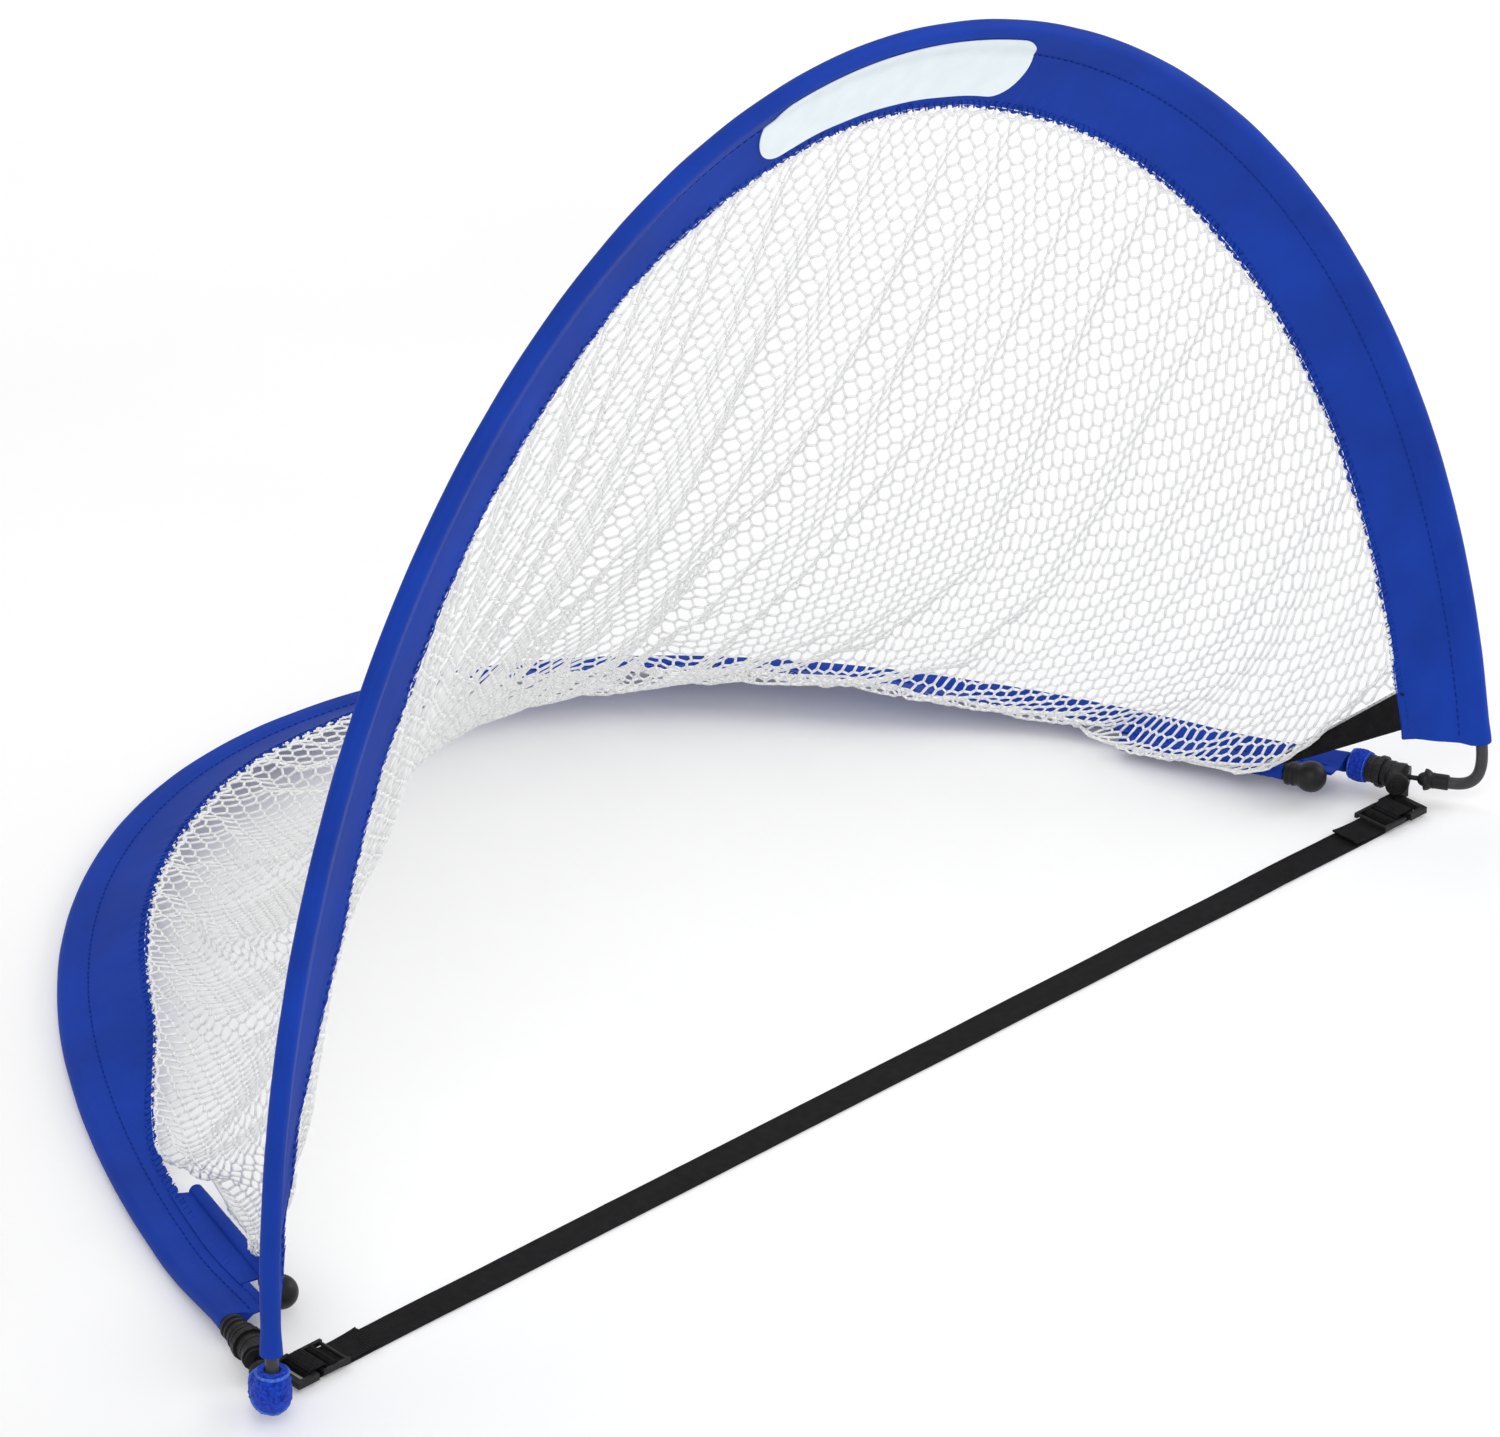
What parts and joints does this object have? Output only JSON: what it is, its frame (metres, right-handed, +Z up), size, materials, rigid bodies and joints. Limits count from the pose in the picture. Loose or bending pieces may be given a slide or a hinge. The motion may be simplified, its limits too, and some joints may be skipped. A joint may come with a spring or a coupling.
{
  "type": "pop up goal",
  "caption": "Folding lawn football goal: a fabric-sleeved arch standing over a sleeved ground loop, with a net between them, corner swivels, a ground strap and pegs",
  "frame": {"origin": "middle of the ground strap's underside, on the lawn, half way between the two corners", "axes": "+X along the mouth to the right as seen by a player facing the goal, +Y to the back of the goal, +Z up"},
  "size_m": [1.2212, 0.722, 0.7821],
  "materials": {
    "sleeve_polyester": "plain woven polyester, royal blue, slightly shiny",
    "loop_band": "brushed hook-and-loop band",
    "net_cord": "white knotless netting",
    "badge_print": "plain white print",
    "gusset_cloth": "black polyester",
    "webbing": "black woven webbing",
    "moulded_plastic": "black moulded nylon",
    "pole_grey": "dark grey glass-fibre rod",
    "peg_steel": "dark steel rod"
  },
  "bodies": {
    "ground_frame": {"ground_arch_pole": "pole_grey", "ground_arch_sleeve": "sleeve_polyester", "ground_strap": "webbing", "net": "net_cord", "ground_ferrule_left": "moulded_plastic", "corner_connector_left": "moulded_plastic", "connector_cap_left": "moulded_plastic", "swivel_stud_left": "moulded_plastic", "corner_gusset_left": "gusset_cloth", "strap_anchor_loop_left": "webbing", "peg_pocket_left": "sleeve_polyester", "ground_ferrule_right": "moulded_plastic", "corner_connector_right": "moulded_plastic", "connector_cap_right": "moulded_plastic", "swivel_stud_right": "moulded_plastic", "corner_gusset_right": "gusset_cloth", "strap_anchor_loop_right": "webbing", "peg_pocket_right": "sleeve_polyester", "tie_band_right": "loop_band"},
    "front_arch": {"front_arch_pole": "pole_grey", "front_arch_sleeve": "sleeve_polyester", "badge_panel": "badge_print", "corner_bend_left": "pole_grey", "bend_ferrule_left": "pole_grey", "bend_socket_left": "moulded_plastic", "corner_bend_right": "pole_grey", "bend_ferrule_right": "pole_grey", "bend_socket_right": "moulded_plastic", "tie_band_left": "loop_band"},
    "peg_left": {"ground_peg_left": "peg_steel", "peg_grip_left": "moulded_plastic"},
    "buckle_left": {"strap_buckle_left": "moulded_plastic"},
    "peg_right": {"ground_peg_right": "peg_steel", "peg_grip_right": "moulded_plastic"},
    "buckle_right": {"strap_buckle_right": "moulded_plastic"}
  },
  "joints": [
    {"name": "arch_fold", "type": "hinge", "parent": "ground_frame", "child": "front_arch", "pos_m": [0, 0.00184, 0.018], "axis": [-1, 0, 0], "range_deg": [0, 81], "stiffness_Nm_per_rad": 1.5},
    {"name": "peg_left_pull", "type": "slide", "parent": "ground_frame", "child": "peg_left", "axis": [-0.3246, -0.9426, 0.0785], "range_m": [0, 0.14]},
    {"name": "peg_right_pull", "type": "slide", "parent": "ground_frame", "child": "peg_right", "axis": [0.3246, -0.9426, 0.0785], "range_m": [0, 0.14]},
    {"name": "buckle_left_tilt", "type": "hinge", "parent": "ground_frame", "child": "buckle_left", "pos_m": [-0.528, 0, 0.0055], "axis": [0, -1, 0], "range_deg": [0, 12]},
    {"name": "buckle_right_tilt", "type": "hinge", "parent": "ground_frame", "child": "buckle_right", "pos_m": [0.528, 0, 0.0055], "axis": [0, 1, 0], "range_deg": [0, 12]}
  ]
}
